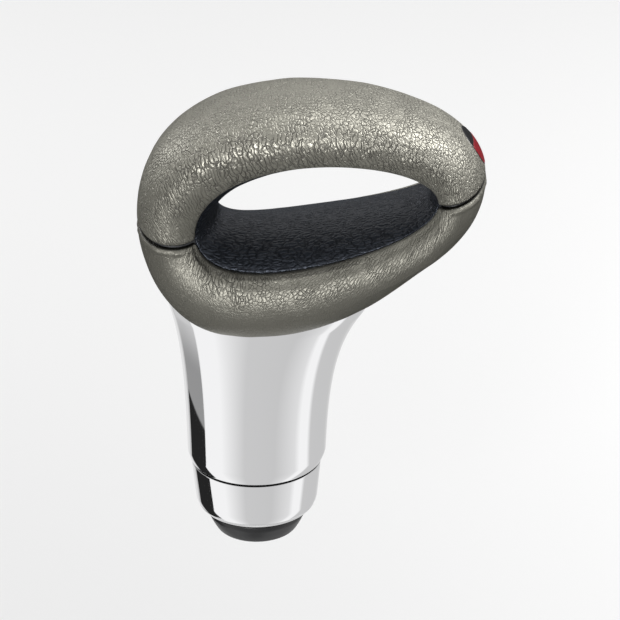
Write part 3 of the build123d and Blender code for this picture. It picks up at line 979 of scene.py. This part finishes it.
def lay_floor(care):
    """Pale paper that takes the knob's shadow, lifted toward the horizon for the camera alone."""
    s, z = FLOOR_HALF, -care.drop
    mesh = bpy.data.meshes.new("floor")
    mesh.from_pydata([(-s, -s, z), (s, -s, z), (s, s, z), (-s, s, z)], [], [(0, 1, 2, 3)])
    tree, shader, place = new_material("Paper white seamless")
    far = add(tree, "ShaderNodeVectorMath", {0: place}, operation="LENGTH").outputs["Value"]
    camera = add(tree, "ShaderNodeLightPath", {}).outputs["Is Camera Ray"]
    lift = calc(tree, "MULTIPLY", camera, span(tree, far, *FLOOR_LIFT))
    fill(tree, shader, {"Base Color": (FLOOR_TONE, FLOOR_TONE, FLOOR_TONE, 1.0), "Roughness": 0.9,
                        "Emission Color": (1.0, 1.0, 1.0, 1.0), "Emission Strength": lift})
    mesh.materials.append(bpy.data.materials["Paper white seamless"])
    floor = placed("floor", mesh)
    floor.visible_glossy = False


def gathered(name, pieces, nodes):
    """A collection of visual pieces and frame nodes, for light linking."""
    group = bpy.data.collections.new(name)
    for piece in pieces:
        group.objects.link(bpy.data.objects[piece])
    for node in nodes:
        group.objects.link(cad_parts[node])
    return group


def hang_lamp(name, power, size, turn, tilt, plated):
    """A soft rectangular lamp on a ball round the knob, facing in, that leaves out the plated pieces."""
    data = bpy.data.lights.new(name, "AREA")
    data.shape = "RECTANGLE"
    data.size, data.size_y = size
    data.energy = power
    lamp = placed(name, data)
    turn, tilt = math.radians(turn), math.radians(tilt)
    lamp.location = LAMP_AWAY * toward(turn, tilt) + (0.0, 0.0, LAMP_CENTRE)
    lamp.rotation_euler = (math.pi / 2 - tilt, 0.0, turn)
    lamp.light_linking.receiver_collection = plated


def mirror_card(name, points, level, mirrors):
    """A lit cloth that only mirrors see, bright as each point says, for all pieces or the bright ones."""
    rows, cols = points.shape[:2]
    index = np.arange(rows * cols).reshape(rows, cols)
    quads = np.stack((index[:-1, :-1], index[:-1, 1:], index[1:, 1:], index[1:, :-1]), axis=-1).reshape(-1, 4)
    mesh = bpy.data.meshes.new(name)
    mesh.from_pydata(points.reshape(-1, 3).tolist(), [], quads.tolist())
    mesh.attributes.new("glow", "FLOAT", "POINT").data.foreach_set("value", level.astype(np.float32).ravel())
    cloth = bpy.data.materials.new(name)
    cloth.use_nodes = True
    tree = cloth.node_tree
    tree.nodes.remove(tree.nodes["Principled BSDF"])
    glow = add(tree, "ShaderNodeAttribute", {}, attribute_name="glow").outputs["Fac"]
    light = add(tree, "ShaderNodeEmission", {"Strength": glow}).outputs[0]
    fill(tree, tree.nodes["Material Output"].inputs, {"Surface": light})
    cloth.cycles.emission_sampling = "NONE"
    mesh.materials.append(cloth)
    card = placed(name, mesh)
    card.visible_camera = card.visible_diffuse = card.visible_shadow = card.visible_transmission = False
    if mirrors:
        card.light_linking.receiver_collection = mirrors


def tent_ball(low, high, a):
    """Part of a ball round the knob between two heights in degrees: its points, their turn and height."""
    turn = np.linspace(-math.pi, math.pi, 361)[None, :]
    tall = np.radians(np.linspace(low, high, 49))[:, None]
    points = TENT_RADIUS * toward(turn + a, tall) + (0.0, 0.0, TENT_CENTRE)
    return points, np.degrees(turn), np.degrees(tall)


def light_tent(a, mirrors):
    """Tent for the bright pieces, white at both sides and dim underfoot, and a grey dome for all pieces."""
    points, turn, tall = tent_ball(-89, 10, a)
    side = np.interp(turn, TENT_TURNS, TENT_LEVELS)
    shade = ramp(turn, 105, 120) * (1 - ramp(turn, 172, 180)) * ramp(tall, -22, -17)
    ground = (1 - ramp(tall, -76, -68)) * ramp(turn, -90, -60) * (1 - ramp(turn, 20, 50))
    mirror_card("light_tent", points, side * (1 - 0.9 * shade) * (1 - 0.6 * ground), mirrors)
    points = tent_ball(10, 89, a)[0]
    mirror_card("grey_dome", points, np.full(points.shape[:2], DOME_LEVEL), None)


def dark_flag(a, mirrors):
    """Flag at the left rear: a standing arc, black up to a slanted line and grey over it."""
    turn = np.radians(np.linspace(-124, -82, 85))[None, :]
    z = np.linspace(FLAG_FOOT, FLAG_HEAD, 241)[:, None]
    height, middle, slope = FLAG_LINE
    line = height + (middle - np.degrees(turn)) * slope
    black, grey, pale = FLAG_TONES
    level = black + grey * ramp(z, line - 0.5, line + 0.5) + pale * ramp(z, 12.0, 26.0)
    x, y = FLAG_RADIUS * np.sin(turn + a), -FLAG_RADIUS * np.cos(turn + a)
    mirror_card("dark_flag", spots(x, y, z) * MM, level, mirrors)


class KNOB_PT_panel(bpy.types.Panel):
    """Sidebar list of the knob's steps"""
    bl_idname = "KNOB_PT_panel"
    bl_label = "Gear Shift Knob"
    bl_space_type = "VIEW_3D"
    bl_region_type = "UI"
    bl_category = "Knob"

    def draw(self, context):
        for step in STEPS:
            self.layout.operator(step.bl_idname)
        for group in GROUPS:
            box = self.layout.box()
            care = getattr(context.scene, group)
            for key in care.bl_rna.properties.keys():
                if key not in ("rna_type", "name"):
                    box.prop(care, key)


STEPS = (KNOB_OT_arch, KNOB_OT_cradle, KNOB_OT_lining, KNOB_OT_badge, KNOB_OT_stem, KNOB_OT_collar,
         KNOB_OT_hardware, KNOB_OT_stage)
GROUPS = {"knob_leather": KnobLeather, "knob_metal": KnobMetal, "knob_badge": KnobBadge,
          "knob_stage": KnobStage}
KINDS = (*GROUPS.values(), *STEPS, KNOB_PT_panel)


def register():
    for kind in KINDS:
        bpy.utils.register_class(kind)
    for name, kind in GROUPS.items():
        setattr(bpy.types.Scene, name, PointerProperty(type=kind))


def unregister():
    for name in GROUPS:
        delattr(bpy.types.Scene, name)
    for kind in reversed(KINDS):
        bpy.utils.unregister_class(kind)


def main():
    register()
    bpy.ops.knob.arch()
    bpy.ops.knob.cradle()
    bpy.ops.knob.lining()
    bpy.ops.knob.badge()
    bpy.ops.knob.stem()
    bpy.ops.knob.collar()
    bpy.ops.knob.hardware()
    bpy.ops.knob.stage()


if __name__ == "__main__":
    main()
